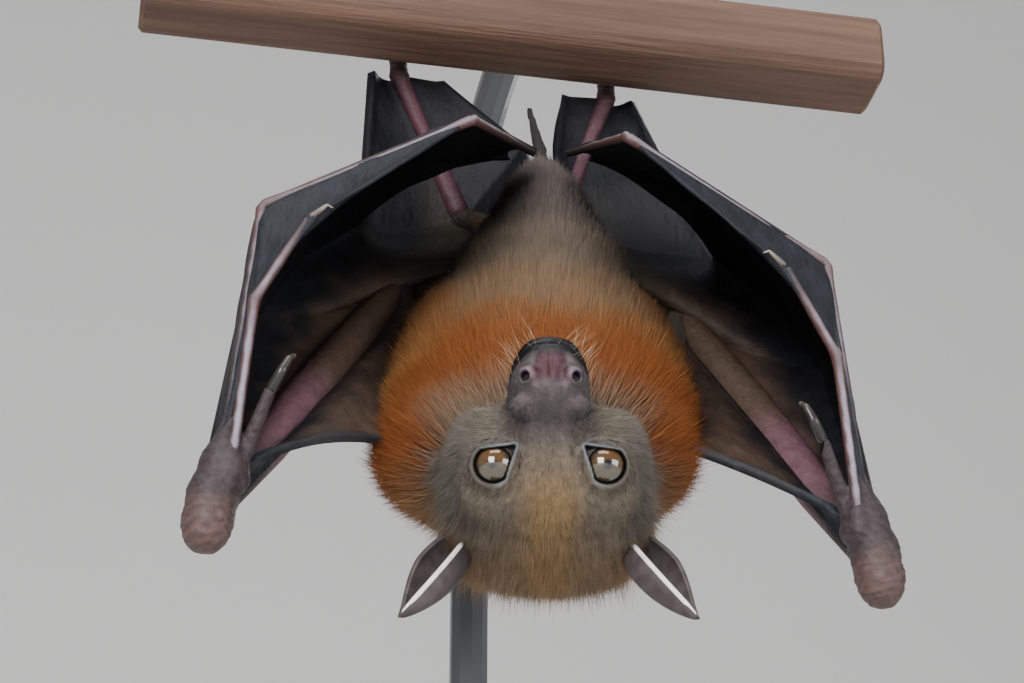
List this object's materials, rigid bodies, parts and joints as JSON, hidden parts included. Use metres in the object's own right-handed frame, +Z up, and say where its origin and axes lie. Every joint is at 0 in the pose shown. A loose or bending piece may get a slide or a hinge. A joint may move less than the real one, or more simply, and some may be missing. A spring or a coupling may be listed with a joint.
{
  "type": "hanging short-nosed fruit bat on a display stand",
  "caption": "Life-size fruit bat hanging head down with wings half wrapped round its body, gripping a short cut batten held by a bent rod on a flat base.",
  "frame": {"origin": "centre of the stand base's underside", "axes": "+Z up, the bat's belly and face towards -Y, the bat's right wing on +X as it hangs head down"},
  "size_m": [0.104, 0.092, 0.2335],
  "materials": {
    "fur_face": "short soft grey-olive fur",
    "fur_collar": "dense rust-orange fur",
    "fur_chest": "orange-brown fur",
    "fur_belly": "greyish tan fur",
    "wing_skin": "thin dark blue-grey skin",
    "bone_skin": "pale pinkish skin over the finger bones",
    "limb_skin": "bare pinkish-brown skin",
    "claw": "dark horn",
    "ear_skin": "thin grey-brown skin with a white rim",
    "eye": "wet amber eye",
    "wood": "old reddish-brown batten",
    "stand_steel": "satin black paint",
    "stand_plate": "satin black paint"
  },
  "bodies": {
    "root": {"abdomen": "fur_belly", "chest": "fur_chest", "digit2_claw_left": "claw", "digit2_claw_right": "claw", "digit2_left": "bone_skin", "digit2_right": "bone_skin", "digit3_first_left": "bone_skin", "digit3_first_right": "bone_skin", "digit3_metacarpal_left": "bone_skin", "digit3_metacarpal_right": "bone_skin", "digit3_second_left": "bone_skin", "digit3_second_right": "bone_skin", "digit4_end_left": "bone_skin", "digit4_end_right": "bone_skin", "digit4_metacarpal_left": "bone_skin", "digit4_metacarpal_right": "bone_skin", "digit5_end_left": "bone_skin", "digit5_end_right": "bone_skin", "digit5_metacarpal_left": "bone_skin", "digit5_metacarpal_right": "bone_skin", "ear_left": "ear_skin", "ear_right": "ear_skin", "eye_left": "eye", "eye_right": "eye", "foot_left": "limb_skin", "foot_right": "limb_skin", "forearm_left": "limb_skin", "forearm_right": "limb_skin", "head": "fur_face", "membrane_2_left": "wing_skin", "membrane_2_right": "wing_skin", "membrane_3_left": "wing_skin", "membrane_3_right": "wing_skin", "membrane_4_left": "wing_skin", "membrane_4_right": "wing_skin", "membrane_5_left": "wing_skin", "membrane_5_right": "wing_skin", "membrane_front_left": "wing_skin", "membrane_front_right": "wing_skin", "membrane_tail_left": "wing_skin", "membrane_tail_right": "wing_skin", "neck": "fur_collar", "perch": "wood", "shank_left": "limb_skin", "shank_right": "limb_skin", "stand_base": "stand_plate", "stand_rod": "stand_steel", "tail": "wing_skin", "thigh_left": "fur_belly", "thigh_right": "fur_belly", "thumb_claw_left": "claw", "thumb_claw_right": "claw", "thumb_left": "limb_skin", "thumb_right": "limb_skin", "upper_arm_left": "fur_belly", "upper_arm_right": "fur_belly", "wrist_left": "limb_skin", "wrist_right": "limb_skin"}
  },
  "joints": []
}
